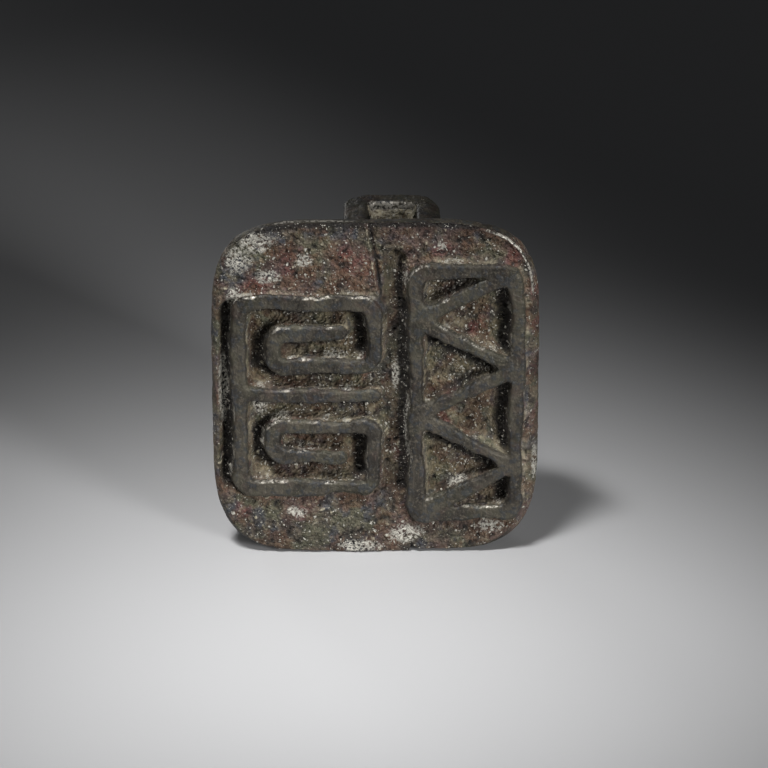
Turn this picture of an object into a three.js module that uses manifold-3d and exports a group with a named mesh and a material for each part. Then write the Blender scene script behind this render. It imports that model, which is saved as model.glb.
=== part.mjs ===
// A cast bronze stamp seal with a strap loop on its back, standing on its lower edge.
// Millimetres. +Z is up and the relief face looks along -Y. The origin is the middle of the bottom of the box.
import * as THREE from 'three';
import { mergeVertices } from 'three/addons/utils/BufferGeometryUtils.js';
import Module from 'manifold-3d';

const wasm = await Module();
wasm.setup();

// Block: the widest outline is the belly, a little behind the face. Depths run back from the stroke tops.
const BLOCK_WIDTH = 40.0;
const BLOCK_HEIGHT = 43.6;
const BLOCK_DEPTH = 11.0;
const CORNER_POWER = 5; // exponent of the rounded square: 2 is an ellipse, a large number is a sharp square
const FOOT_CUT = 0.25; // how far the worn lower edge is flat above the full rounded outline
const SIDE_TAPER = 4.0; // how far each side draws in from the belly to the back
const TOP_TAPER = 4.8;
const BACK_EDGE_ROUND = 0.9;
const BELLY_START = 2.0; // depth at which the walls reach their full width
const BELLY_LENGTH = 1.0; // over which they draw in only by the two eases
const BELLY_EASE_SIDE = 0.24;
const BELLY_EASE_TOP = 0.38;
const OUTLINE_POINTS = 96;

// Face
const RIM_SETBACK = 0.45; // the rim lies this far behind the stroke tops
const RIM_WIDTH = 0.8;
const FACE_INSET_LEFT = 0.75; // edge of the face, in from the belly outline
const FACE_INSET_RIGHT = 1.35;
const FACE_INSET_TOP = 0.12;
const FACE_INSET_BOTTOM = 0.3;
const GROUND_DEPTH = 1.0;
const GROOVE_DEPTH = 2.2;
const STROKE = 1.5;
const STROKE_ROOT = 0.3; // how far the strokes are sunk into the groove floor, so that they join it
const CUT_PAST = 0.1; // how far cuts start in front of the surface that they cut
const PANEL_CORNER = 2.0;
const STROKE_END_SEGMENTS = 6;

// The two panels of the face reach from margins at the block's sides to a channel between them.
const CHANNEL_OFFSET = 1.1; // left side of the channel, right of the block's middle
const CHANNEL_WIDTH = 2.6;
const CHANNEL_LAND = 0.5; // from the channel to the strokes on each side of it
const CHANNEL_TOP_MARGIN = 3.6;

// Left panel: two square spirals that mirror each other above and below a shared bar
const FRET_SIDE_MARGIN = 2.7;
const FRET_FOOT_MARGIN = 8.0;
const FRET_TOP_MARGIN = 9.7;
const FRET_COLUMNS = 4;
const FRET_ROWS = 3;
const SIDE_CHANNEL_WIDTH = 1.7; // deep ground beside the left panel

// Right panel: a frame with a zigzag between its uprights
const BAND_SIDE_MARGIN = 2.1;
const BAND_FOOT_MARGIN = 4.6;
const BAND_TOP_MARGIN = 5.4;
const ZIGZAG_TURNS = 5;
const ZIGZAG_BITE = 0.2; // how far the zigzag's turns reach into the frame, as a share of its stroke

// Loop: a strap bent into a U, whose legs end in tenons in the back of the block
const LOOP_OFFSET = 2.0; // its middle, right of the block's middle
const LOOP_WIDTH = 12.2;
const LOOP_TOP_MARGIN = 2.0; // below the upper edge of the back
const LOOP_FOOT_MARGIN = 8.8; // above the foot
const LOOP_REACH = 16.2; // from the back of the block to the far end
const LEG_THICKNESS = 3.1;
const END_THICKNESS = 2.5;
const LOOP_CORNER = 2.0;
const LOOP_INNER_CORNER = 1.3;
const TENON_LENGTH = 3.0;
const TENON_ROOT = 0.5; // how far the tenon's own solid runs up inside its leg, to join it
const TENON_SHOULDER = 3.0; // the leg is taller than its tenon by this much above and below
const FIT = 0.3; // clearance round the tenons, under the shoulders and beside the solder

// Solder
const FILLET = 1.0;
const FILLET_TOP = 0.25;

// The block's stations follow from the sizes above.
const OVERALL_DEPTH = BLOCK_DEPTH + FIT + LOOP_REACH;
const FRONT_Y = -OVERALL_DEPTH / 2;
const BACK_Y = FRONT_Y + BLOCK_DEPTH;
const LOOP_TOP = BLOCK_HEIGHT - TOP_TAPER - LOOP_TOP_MARGIN;
const LOOP_HEIGHT = LOOP_TOP - LOOP_FOOT_MARGIN;
const LOOP_CENTRE_Z = (LOOP_TOP + LOOP_FOOT_MARGIN) / 2;
const legMiddleX = (side) => LOOP_OFFSET + side * (LOOP_WIDTH / 2 - LEG_THICKNESS / 2);

const CHANNEL = {
  left: CHANNEL_OFFSET, right: CHANNEL_OFFSET + CHANNEL_WIDTH, top: BLOCK_HEIGHT - CHANNEL_TOP_MARGIN,
};
const FRET = {
  left: -BLOCK_WIDTH / 2 + FRET_SIDE_MARGIN,
  right: CHANNEL.left - CHANNEL_LAND,
  bottom: FRET_FOOT_MARGIN,
  top: BLOCK_HEIGHT - FRET_TOP_MARGIN,
};
const BAND = {
  left: CHANNEL.right + CHANNEL_LAND,
  right: BLOCK_WIDTH / 2 - BAND_SIDE_MARGIN,
  bottom: BAND_FOOT_MARGIN,
  top: BLOCK_HEIGHT - BAND_TOP_MARGIN,
};

const bronze = new THREE.MeshStandardMaterial({ color: 0x45413a, roughness: 0.55, metalness: 0.6 });
const loopBronze = new THREE.MeshStandardMaterial({ color: 0x3a3731, roughness: 0.55, metalness: 0.6 });
const solder = new THREE.MeshStandardMaterial({ color: 0x6b6a5c, roughness: 0.7, metalness: 0.4 });

const SAME_POINT = 1e-4; // points nearer than this are one point

// Turns a closed three.js geometry into a solid that can be cut and joined.
function toSolid(geometry) {
  const bare = new THREE.BufferGeometry();
  bare.setAttribute('position', geometry.getAttribute('position').clone());
  if (geometry.index) bare.setIndex(geometry.index.clone());
  const merged = mergeVertices(bare, SAME_POINT);
  const mesh = new wasm.Mesh({
    numProp: 3,
    vertProperties: new Float32Array(merged.getAttribute('position').array),
    triVerts: new Uint32Array(merged.index.array),
  });
  return new wasm.Manifold(mesh);
}

function toGeometry(solid) {
  const mesh = solid.getMesh();
  const geometry = new THREE.BufferGeometry();
  geometry.setAttribute('position', new THREE.BufferAttribute(new Float32Array(mesh.vertProperties), 3));
  geometry.setIndex(new THREE.BufferAttribute(new Uint32Array(mesh.triVerts), 1));
  geometry.computeVertexNormals();
  return geometry;
}

const joinAll = (solids) => solids.reduce((whole, piece) => whole.add(piece));

// A flat shape of the face (x across, y up) as a solid between two depths behind the stroke tops.
function faceSolid(shape, nearDepth, farDepth) {
  const geometry = new THREE.ExtrudeGeometry(shape, {
    depth: farDepth - nearDepth, bevelEnabled: false, curveSegments: STROKE_END_SEGMENTS,
  });
  geometry.rotateX(Math.PI / 2);
  geometry.translate(0, FRONT_Y + farDepth, 0);
  return toSolid(geometry);
}

// One ring of the block: a rounded square whose lower edge is cut off flat at the foot.
function outlineRing(left, right, bottom, top, y) {
  const halfWidth = (right - left) / 2;
  const halfHeight = (top - bottom) / 2;
  const points = [];
  for (let i = 0; i < OUTLINE_POINTS; i += 1) {
    const angle = (2 * Math.PI * i) / OUTLINE_POINTS;
    const across = Math.abs(Math.cos(angle) / halfWidth) ** CORNER_POWER;
    const upward = Math.abs(Math.sin(angle) / halfHeight) ** CORNER_POWER;
    const radius = (across + upward) ** (-1 / CORNER_POWER);
    const x = (left + right) / 2 + radius * Math.cos(angle);
    const z = Math.max((bottom + top) / 2 + radius * Math.sin(angle), 0);
    points.push(new THREE.Vector3(x, y, z));
  }
  return points;
}

// Joins rings that run from front to back into one closed skin, with a fan over each end.
function skinOf(rings) {
  const count = rings[0].length;
  const positions = rings.flat().flatMap((point) => point.toArray());
  const triangles = [];
  for (let r = 0; r + 1 < rings.length; r += 1) {
    for (let i = 0; i < count; i += 1) {
      const near = r * count + i;
      const nearNext = r * count + ((i + 1) % count);
      triangles.push(near, near + count, nearNext, nearNext, near + count, nearNext + count);
    }
  }
  const middleOf = (ring) => ring.reduce((sum, p) => sum.add(p), new THREE.Vector3()).divideScalar(count);
  const frontMiddle = rings.length * count;
  const backMiddle = frontMiddle + 1;
  positions.push(...middleOf(rings[0]).toArray(), ...middleOf(rings.at(-1)).toArray());
  const lastRing = (rings.length - 1) * count;
  for (let i = 0; i < count; i += 1) {
    const next = (i + 1) % count;
    triangles.push(frontMiddle, i, next);
    triangles.push(backMiddle, lastRing + next, lastRing + i);
  }
  const geometry = new THREE.BufferGeometry();
  geometry.setAttribute('position', new THREE.Float32BufferAttribute(positions, 3));
  geometry.setIndex(triangles);
  return geometry;
}

// The block's outer skin: face edge, belly, then walls that draw in towards the back. The foot stays flat.
function blockSkin() {
  const half = BLOCK_WIDTH / 2;
  const ring = (depth, insetLeft, insetRight, insetTop, lift) => outlineRing(
    -half + insetLeft, half - insetRight, lift - FOOT_CUT, BLOCK_HEIGHT - insetTop, FRONT_Y + depth,
  );
  const backEdge = BLOCK_DEPTH - BACK_EDGE_ROUND;
  return skinOf([
    ring(RIM_SETBACK, FACE_INSET_LEFT, FACE_INSET_RIGHT, FACE_INSET_TOP, FACE_INSET_BOTTOM),
    ring((RIM_SETBACK + BELLY_START) / 2, FACE_INSET_LEFT / 4, FACE_INSET_RIGHT / 4, 0, 0),
    ring(BELLY_START, 0, 0, 0, 0),
    ring(BELLY_START + BELLY_LENGTH, BELLY_EASE_SIDE, BELLY_EASE_SIDE, BELLY_EASE_TOP, 0),
    ring(backEdge, SIDE_TAPER - BACK_EDGE_ROUND, SIDE_TAPER - BACK_EDGE_ROUND, TOP_TAPER - BACK_EDGE_ROUND, 0),
    ring(BLOCK_DEPTH, SIDE_TAPER, SIDE_TAPER, TOP_TAPER, BACK_EDGE_ROUND),
  ]);
}

// The face inside the rim, as a flat shape.
function groundShape() {
  const half = BLOCK_WIDTH / 2;
  const ring = outlineRing(
    -half + FACE_INSET_LEFT + RIM_WIDTH, half - FACE_INSET_RIGHT - RIM_WIDTH,
    FACE_INSET_BOTTOM + RIM_WIDTH, BLOCK_HEIGHT - FACE_INSET_TOP - RIM_WIDTH, 0,
  );
  return new THREE.Shape(ring.map((point) => new THREE.Vector2(point.x, point.z)));
}

// A rounded rectangle, a given distance inside the sides of a panel.
function roundedPanel(panel, inset, radius) {
  const left = panel.left + inset;
  const right = panel.right - inset;
  const bottom = panel.bottom + inset;
  const top = panel.top - inset;
  const shape = new THREE.Shape();
  shape.moveTo(left + radius, bottom);
  shape.lineTo(right - radius, bottom);
  shape.absarc(right - radius, bottom + radius, radius, -Math.PI / 2, 0, false);
  shape.lineTo(right, top - radius);
  shape.absarc(right - radius, top - radius, radius, 0, Math.PI / 2, false);
  shape.lineTo(left + radius, top);
  shape.absarc(left + radius, top - radius, radius, Math.PI / 2, Math.PI, false);
  shape.lineTo(left, bottom + radius);
  shape.absarc(left + radius, bottom + radius, radius, Math.PI, 1.5 * Math.PI, false);
  return shape;
}

const turned = (vector) => new THREE.Vector2(-vector.y, vector.x);

// Points of a round turn about a corner or an end, from one offset direction to the next.
function roundTurn(middle, from, to, radius) {
  const start = Math.atan2(from.y, from.x);
  let sweep = Math.atan2(to.y, to.x) - start;
  if (sweep > SAME_POINT) sweep -= 2 * Math.PI;
  return Array.from({ length: STROKE_END_SEGMENTS + 1 }, (_, i) => {
    const angle = start + (sweep * i) / STROKE_END_SEGMENTS;
    return new THREE.Vector2(middle.x + radius * Math.cos(angle), middle.y + radius * Math.sin(angle));
  });
}

// The left-hand side of a path: round on the outside of each corner and sharp on the inside.
function sideOfPath(points, radius) {
  const side = [];
  for (let i = 0; i < points.length; i += 1) {
    const before = turned(points[i].clone().sub(points[Math.max(i - 1, 0)]).normalize());
    const after = turned(points[Math.min(i + 1, points.length - 1)].clone().sub(points[i]).normalize());
    if (i === 0) side.push(points[i].clone().addScaledVector(after, radius));
    else if (i === points.length - 1) side.push(points[i].clone().addScaledVector(before, radius));
    else if (before.cross(after) > 0) {
      const reach = radius / (1 + before.dot(after));
      side.push(points[i].clone().addScaledVector(before.clone().add(after), reach));
    } else side.push(...roundTurn(points[i], before, after, radius));
  }
  return side;
}

// The outline of a stroke with round ends along a path of points on the face.
function strokeShape(path) {
  const points = path.map(([x, z]) => new THREE.Vector2(x, z));
  const radius = STROKE / 2;
  const sides = [points, [...points].reverse()].flatMap((run) => {
    const side = sideOfPath(run, radius);
    const last = run.at(-1);
    const outward = side.at(-1).clone().sub(last);
    const turn = roundTurn(last, outward, outward.clone().negate(), radius);
    return [...side, ...turn.slice(1, -1)];
  });
  return new THREE.Shape(sides);
}

const raised = (shape) => faceSolid(shape, 0, GROOVE_DEPTH + STROKE_ROOT);

// A square spiral from the left end of the shared bar inwards. Direction +1 goes up, -1 goes down.
function spiralPath(direction) {
  const left = FRET.left + STROKE / 2;
  const right = FRET.right - STROKE / 2;
  const middle = (FRET.bottom + FRET.top) / 2;
  const column = (right - left) / FRET_COLUMNS;
  const row = ((FRET.top - FRET.bottom - STROKE) / 2 / FRET_ROWS) * direction;
  return [
    [left, middle + FRET_ROWS * row],
    [right, middle + FRET_ROWS * row],
    [right, middle + row],
    [left + column, middle + row],
    [left + column, middle + 2 * row],
    [right - column, middle + 2 * row],
  ];
}

// Both spirals are one stroke, and the shared bar branches off its left side.
function leftStrokes() {
  const middle = (FRET.bottom + FRET.top) / 2;
  const bothSpirals = [...spiralPath(1).reverse(), ...spiralPath(-1)];
  const sharedBar = [[FRET.left + STROKE / 2, middle], [FRET.right - STROKE / 2, middle]];
  return raised(strokeShape(bothSpirals)).add(raised(strokeShape(sharedBar)));
}

// A rounded frame with a zigzag that turns inside its uprights.
function rightStrokes() {
  const frame = roundedPanel(BAND, 0, PANEL_CORNER);
  frame.holes.push(roundedPanel(BAND, STROKE, PANEL_CORNER / 2));
  const inset = (1 - ZIGZAG_BITE) * STROKE;
  const step = (BAND.top - BAND.bottom - 2 * inset) / ZIGZAG_TURNS;
  const zigzag = Array.from({ length: ZIGZAG_TURNS + 1 }, (_, i) => (
    [i % 2 === 0 ? BAND.left + inset : BAND.right - inset, BAND.bottom + inset + i * step]
  ));
  return raised(frame).add(raised(strokeShape(zigzag)));
}

// The deep ground in and round the strokes. Its edges run under the strokes, so no thin ledge is left.
function grooves() {
  const third = STROKE / 3;
  const leftGround = {
    left: FRET.left - SIDE_CHANNEL_WIDTH - third,
    right: BAND.left + 3 * third,
    bottom: FRET.bottom,
    top: FRET.top,
  };
  const channelAbove = { ...CHANNEL, bottom: FRET.top - CHANNEL_WIDTH };
  const pockets = [
    roundedPanel(leftGround, third, PANEL_CORNER),
    roundedPanel(BAND, third, PANEL_CORNER),
    roundedPanel(channelAbove, 0, CHANNEL_WIDTH / 3),
  ];
  return joinAll(pockets.map((pocket) => faceSolid(pocket, RIM_SETBACK - CUT_PAST, GROOVE_DEPTH)));
}

// A box in one of the loop's legs, centred across and in height on it, between two places along Y.
function legBox(side, thickness, height, nearY, farY) {
  const geometry = new THREE.BoxGeometry(thickness, farY - nearY, height);
  geometry.translate(legMiddleX(side), (nearY + farY) / 2, LOOP_CENTRE_Z);
  return toSolid(geometry);
}

const tenonHeight = LOOP_HEIGHT - 2 * TENON_SHOULDER;
const tenonThickness = LEG_THICKNESS - 2 * FIT;

function mortise(side) {
  const floorY = BACK_Y - TENON_LENGTH - FIT;
  return legBox(side, tenonThickness + 2 * FIT, tenonHeight + 2 * FIT, floorY, BACK_Y + FIT);
}

function sealBlock() {
  return toSolid(blockSkin())
    .subtract(faceSolid(groundShape(), RIM_SETBACK - CUT_PAST, GROUND_DEPTH))
    .subtract(grooves())
    .add(leftStrokes())
    .add(rightStrokes())
    .subtract(mortise(-1))
    .subtract(mortise(1));
}

// The loop seen from above: a U with rounded far corners, x across and y towards the back.
function loopShape() {
  const half = LOOP_WIDTH / 2;
  const innerHalf = half - LEG_THICKNESS;
  const innerCorner = LOOP_INNER_CORNER;
  const innerEnd = LOOP_REACH - END_THICKNESS;
  const shape = new THREE.Shape();
  shape.moveTo(-half, 0);
  shape.lineTo(-innerHalf, 0);
  shape.lineTo(-innerHalf, innerEnd - innerCorner);
  shape.absarc(-innerHalf + innerCorner, innerEnd - innerCorner, innerCorner, Math.PI, Math.PI / 2, true);
  shape.lineTo(innerHalf - innerCorner, innerEnd);
  shape.absarc(innerHalf - innerCorner, innerEnd - innerCorner, innerCorner, Math.PI / 2, 0, true);
  shape.lineTo(innerHalf, 0);
  shape.lineTo(half, 0);
  shape.lineTo(half, LOOP_REACH - LOOP_CORNER);
  shape.absarc(half - LOOP_CORNER, LOOP_REACH - LOOP_CORNER, LOOP_CORNER, 0, Math.PI / 2, false);
  shape.lineTo(-half + LOOP_CORNER, LOOP_REACH);
  shape.absarc(-half + LOOP_CORNER, LOOP_REACH - LOOP_CORNER, LOOP_CORNER, Math.PI / 2, Math.PI, false);
  return shape;
}

function strapLoop() {
  const strap = new THREE.ExtrudeGeometry(loopShape(), { depth: LOOP_HEIGHT, bevelEnabled: false });
  strap.translate(LOOP_OFFSET, BACK_Y + FIT, LOOP_CENTRE_Z - LOOP_HEIGHT / 2);
  const tenons = [-1, 1].map((side) => (
    legBox(side, tenonThickness, tenonHeight, BACK_Y - TENON_LENGTH, BACK_Y + FIT + TENON_ROOT)
  ));
  return joinAll([toSolid(strap), ...tenons]);
}

// A fillet of solder round one leg: a low pyramid with the leg's own hole through it.
function solderSeam(side) {
  const rectangle = (reach, y) => {
    const halfX = LEG_THICKNESS / 2 + FIT + reach;
    const halfZ = LOOP_HEIGHT / 2 + FIT + reach;
    return [[1, 1], [-1, 1], [-1, -1], [1, -1]].map(([sx, sz]) => (
      new THREE.Vector3(legMiddleX(side) + sx * halfX, y, LOOP_CENTRE_Z + sz * halfZ)
    ));
  };
  const baseY = BACK_Y + FIT;
  const collar = skinOf([rectangle(FILLET, baseY), rectangle(FILLET_TOP, baseY + FILLET)]);
  const hole = legBox(
    side, LEG_THICKNESS + 2 * FIT, LOOP_HEIGHT + 2 * FIT, baseY - FIT, baseY + FILLET + FIT,
  );
  return toSolid(collar).subtract(hole);
}

function addPiece(group, name, solid, material) {
  const mesh = new THREE.Mesh(toGeometry(solid), material);
  mesh.name = name;
  group.add(mesh);
}

const group = new THREE.Group();
addPiece(group, 'seal_block', sealBlock(), bronze);
addPiece(group, 'loop_knob', strapLoop(), loopBronze);
addPiece(group, 'solder_seam_left', solderSeam(-1), solder);
addPiece(group, 'solder_seam_right', solderSeam(1), solder);

export default group;
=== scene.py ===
"""The looks of a cast bronze stamp seal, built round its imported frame.

The seal stands on its lower edge. The relief face looks along -Y and a strap loop stands out behind.
Lengths are millimetres in the names that end in _MM and in the shape functions, and metres elsewhere.
"""
import functools
import itertools
import math

import bmesh
import bpy
import numpy as np
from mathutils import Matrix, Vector


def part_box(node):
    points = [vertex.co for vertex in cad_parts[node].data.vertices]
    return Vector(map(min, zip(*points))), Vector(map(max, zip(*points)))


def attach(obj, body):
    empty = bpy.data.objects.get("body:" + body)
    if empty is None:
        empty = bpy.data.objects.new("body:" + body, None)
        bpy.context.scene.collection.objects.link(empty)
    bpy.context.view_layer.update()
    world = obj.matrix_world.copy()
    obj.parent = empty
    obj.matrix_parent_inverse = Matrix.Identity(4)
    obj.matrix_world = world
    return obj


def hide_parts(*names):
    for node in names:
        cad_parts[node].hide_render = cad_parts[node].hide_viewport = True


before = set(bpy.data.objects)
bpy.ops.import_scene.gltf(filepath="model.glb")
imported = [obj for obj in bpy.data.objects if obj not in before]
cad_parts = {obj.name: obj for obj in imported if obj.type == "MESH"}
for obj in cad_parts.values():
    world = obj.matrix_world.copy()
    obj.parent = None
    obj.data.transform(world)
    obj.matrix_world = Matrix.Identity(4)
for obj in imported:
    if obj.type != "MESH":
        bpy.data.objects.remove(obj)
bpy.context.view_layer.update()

bl_info = {
    "name": "Bronze Stamp Seal",
    "version": (1, 0, 0),
    "blender": (4, 5, 0),
    "location": "View3D > Sidebar > Seal",
    "description": "Models a worn cast bronze stamp seal with a strap loop on its back",
    "category": "Add Mesh",
}

MM = 0.001


def linear(hex_colour):
    """An sRGB hex colour as linear red, green and blue."""
    channels = [int(hex_colour[i:i + 2], 16) / 255 for i in (0, 2, 4)]
    return tuple(c / 12.92 if c <= 0.04045 else ((c + 0.055) / 1.055) ** 2.4 for c in channels)


def size_mm(millimetres, name, description):
    return bpy.props.FloatProperty(
        name=name, description=description, default=millimetres * MM, unit="LENGTH", precision=5,
    )


def colour(hex_colour, name, description):
    return bpy.props.FloatVectorProperty(
        name=name, description=description, default=linear(hex_colour), subtype="COLOR", size=3,
    )


class SealSizes(bpy.types.PropertyGroup):
    stroke: size_mm(1.5, "Stroke", "Width of the raised strokes")
    groove: size_mm(2.4, "Groove depth", "From the stroke tops to the floor of the deep ground")
    ground: size_mm(1.0, "Ground depth", "From the stroke tops to the bare margins")
    rim_setback: size_mm(0.45, "Rim setback", "How far the rim lies behind the stroke tops")
    rim_width: size_mm(0.25, "Rim width", "Width of the rim round the face")
    grid: size_mm(0.182, "Grid", "Spacing of the points on the face")
    loop_voxel: size_mm(0.22, "Loop voxel", "Spacing of the points on the loop")


class SealColours(bpy.types.PropertyGroup):
    worn_dark: colour("322e29", "Worn bronze, dark", "Smooth handled bronze in its darker patches")
    worn_light: colour("555046", "Worn bronze, light", "Smooth handled bronze in its lighter patches")
    # Rubbed bronze with a painted highlight along the sharp edges
    polished_highlight: colour("d2ccc0", "Polished edge", "Bronze that is rubbed bright along the sharp edges")
    ground_dark: colour("3d3730", "Ground, dark", "Corroded bronze in the darker part of the ground")
    ground_light: colour("7d7263", "Ground, light", "Corroded bronze in the lighter part of the ground")
    olive: colour("62624e", "Olive patina", "Olive green patina in soft patches")
    slate: colour("444d57", "Slate patina", "Blue grey patina in soft patches")
    plum: colour("6c514b", "Plum patina", "Pinkish brown patina in soft patches")
    rust: colour("875f42", "Rust brown patina", "Orange brown patina in small patches")
    cuprite: colour("84493d", "Cuprite", "Red copper oxide in patches")
    earth: colour("948666", "Burial earth", "Ochre earth that is left in the hollows")
    # Pale earth, also used for painted light on the banks of the grooves
    pale_earth_and_light: colour("c4bba2", "Pale earth", "Dry earth on the banks of the grooves and on the grains")
    # Black of the pits, also used for painted shade
    pit_and_shade: colour("16120f", "Pit", "Black bottoms of the pits")
    # White corrosion, also used for the painted glints of the specks
    bloom_and_glint: colour("cecabe", "White bloom", "White corrosion in grains and clusters")
    solder: colour("4b4942", "Solder", "Dull grey solder")
    floor: colour("c9c9ca", "Floor", "Plain pale floor")


# Masks of the finish: each is an attribute from 0 to 1 on the points of a piece
MASKS = ("worn", "deep", "earth_bank_and_light", "shade", "crust", "rubbed_edge_highlight", "bloom_and_glint", "cuprite")

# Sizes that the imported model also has, in millimetres. The insets run from the widest ring to the face.

CORNER_POWER = 5
FACE_INSET_LEFT_MM = 0.75
FACE_INSET_RIGHT_MM = 1.35
FACE_INSET_TOP_MM = 0.12
FACE_INSET_BOTTOM_MM = 0.3
FOOT_CUT_MM = 0.25
WORN_TOP_MM = 0.12
PANEL_CORNER_MM = 2.0
PANEL_MARGIN_MM = 0.5
CHANNEL_MM = {"left": 1.1, "right": 3.7, "top": 40.0}
CHANNEL_MARGIN_MM = 0.1
CHANNEL_CORNER_MM = 1.2
FRET_MM = {"left": -17.3, "right": 0.6, "bottom": 8.0, "top": 33.9}
BAND_MM = {"left": 4.2, "right": 17.9, "bottom": 4.6, "top": 38.2}
FRET_COLUMNS = 4
FRET_ROWS = 3
ZIGZAG_TURNS = 5
SIDE_CHANNEL_MM = 1.7
LEG_THICKNESS_MM = 3.1
END_THICKNESS_MM = 2.5
SEAM_REACH_MM = 1.0


def box_mm(node):
    """A CAD node's lowest and highest corners in millimetres."""
    low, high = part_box(node)
    return np.array(low) / MM, np.array(high) / MM


# Noise

def hashed(cells, seed):
    """A repeatable number from 0 to 1 for each whole-number cell."""
    x, y, z = (cells[..., i].astype(np.int64) for i in range(3))
    bits = x * 73856093 ^ y * 19349663 ^ z * 83492791 ^ (seed * 2654435761)
    bits = (bits ^ (bits >> 13)) * 1274126177
    bits = (bits ^ (bits >> 16)) & 0xFFFFFF
    return bits / float(0xFFFFFF)


def smooth_noise(points, size, seed):
    """Noise from -1 to 1 whose lumps measure about the given size."""
    scaled = points / size + 1000.0
    cell = np.floor(scaled)
    part = scaled - cell
    part = part * part * (3 - 2 * part)
    total = np.zeros(len(points))
    for corner in itertools.product((0, 1), repeat=3):
        weight = np.prod(np.where(corner, part, 1 - part), axis=1)
        total += weight * hashed(cell + corner, seed)
    return total * 2 - 1


def layered_noise(points, size, seed, layers=3):
    """Noise with finer and weaker layers added, each half the size of the one before."""
    total = sum(smooth_noise(points, size / 2 ** i, seed + i) / 1.8 ** i for i in range(layers))
    return total / sum(1 / 1.8 ** i for i in range(layers))


def pits(points, spacing, radius, share, seed):
    """Round pits from 0 to 1 in depth: one may lie in each cell of the given spacing."""
    scaled = points / spacing + 1000.0
    cell = np.floor(scaled)
    deepest = np.zeros(len(points))
    for offset in itertools.product((-1, 0, 1), repeat=3):
        near = cell + offset
        middle = near + np.stack([hashed(near, seed + i) for i in range(3)], axis=1)
        reach = radius / spacing * (0.5 + hashed(near, seed + 3))
        away = np.linalg.norm(scaled - middle, axis=1) / reach
        present = hashed(near, seed + 4) < share
        deepest = np.maximum(deepest, np.where(present, np.clip(1 - away ** 2, 0, 1), 0))
    return deepest


def ramp(value, low, high):
    """0 below low, 1 above high and a smooth rise between."""
    part = np.clip((value - low) / (high - low), 0, 1)
    return part * part * (3 - 2 * part)


def mixed(low, high, share):
    """low where the share is 0, high where it is 1, and evenly between."""
    return low + (high - low) * share


# The ornament of the face

def rounded_path(path, radius, steps=4):
    """The path with each corner turned on an arc of the given radius."""
    points = [np.array(p, float) for p in path]
    out = [points[0]]
    for before, corner, after in zip(points, points[1:], points[2:]):
        back = (before - corner) / np.linalg.norm(before - corner)
        on = (after - corner) / np.linalg.norm(after - corner)
        half = math.acos(np.clip(np.dot(back, on), -1, 1)) / 2
        reach = min(radius / math.tan(half), np.linalg.norm(after - corner) / 2.2)
        for i in range(steps + 1):
            share = i / steps
            start, end = corner + back * reach, corner + on * reach
            out.append(mixed(mixed(start, corner, share), mixed(corner, end, share), share))
    return out + [points[-1]]


def spiral(direction, stroke):
    """A square spiral that runs inwards from the shared bar, up for +1 and down for -1."""
    left, right = FRET_MM["left"] + stroke / 2, FRET_MM["right"] - stroke / 2
    middle = (FRET_MM["bottom"] + FRET_MM["top"]) / 2
    column = (right - left) / FRET_COLUMNS
    row = (FRET_MM["top"] - FRET_MM["bottom"] - stroke) / 2 / FRET_ROWS * direction
    return [
        (left, middle + FRET_ROWS * row),
        (right, middle + FRET_ROWS * row),
        (right, middle + row),
        (left + column, middle + row),
        (left + column, middle + 2 * row),
        (right - column, middle + 2 * row),
    ]


def stroke_paths(stroke):
    """The middle lines of all raised strokes."""
    middle = (FRET_MM["bottom"] + FRET_MM["top"]) / 2
    shared_bar = [(FRET_MM["left"] + stroke / 2, middle), (FRET_MM["right"] - stroke / 2, middle)]
    both_spirals = spiral(1, stroke)[::-1] + spiral(-1, stroke)
    low_x, high_x = BAND_MM["left"] + stroke / 2, BAND_MM["right"] - stroke / 2
    low_z, high_z = BAND_MM["bottom"] + stroke / 2, BAND_MM["top"] - stroke / 2
    mid_x = (low_x + high_x) / 2
    surround = [
        (mid_x, low_z), (low_x, low_z), (low_x, high_z), (high_x, high_z), (high_x, low_z), (mid_x, low_z),
    ]
    rise = (high_z - low_z) / ZIGZAG_TURNS
    zigzag = [(low_x if i % 2 == 0 else high_x, low_z + i * rise) for i in range(ZIGZAG_TURNS + 1)]
    zigzag[0] = (low_x + 0.6, low_z + 0.4)
    zigzag[-1] = (high_x - 0.6, high_z - 0.4)
    return [
        rounded_path(both_spirals, 1.3),
        shared_bar,
        rounded_path(surround, 1.6),
        rounded_path(zigzag, 0.4),
    ]


def away_from_paths(x, z, paths):
    """Distance to the nearest path, with inner corners filled a little as in a casting."""
    total = np.zeros(len(x))
    sharpness = 3.4
    for path in paths:
        for (x0, z0), (x1, z1) in zip(path, path[1:]):
            run_x, run_z = x1 - x0, z1 - z0
            length = max(run_x ** 2 + run_z ** 2, 1e-9)
            share = np.clip(((x - x0) * run_x + (z - z0) * run_z) / length, 0, 1)
            away = np.hypot(x - x0 - share * run_x, z - z0 - share * run_z)
            weight = min(1.0, math.sqrt(length) / 2.0)
            total += weight * np.exp(-sharpness * away)
    return -np.log(np.maximum(total, 1e-30)) / sharpness


def inside_panel(x, z, panel, margin, corner):
    """Signed distance to a rounded rectangle, below zero inside."""
    mid_x, mid_z = (panel["left"] + panel["right"]) / 2, (panel["bottom"] + panel["top"]) / 2
    half_x = (panel["right"] - panel["left"]) / 2 - margin - corner
    half_z = (panel["top"] - panel["bottom"]) / 2 - margin - corner
    out_x, out_z = np.abs(x - mid_x) - half_x, np.abs(z - mid_z) - half_z
    outside = np.hypot(np.maximum(out_x, 0), np.maximum(out_z, 0))
    return outside + np.minimum(np.maximum(out_x, out_z), 0) - corner


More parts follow.
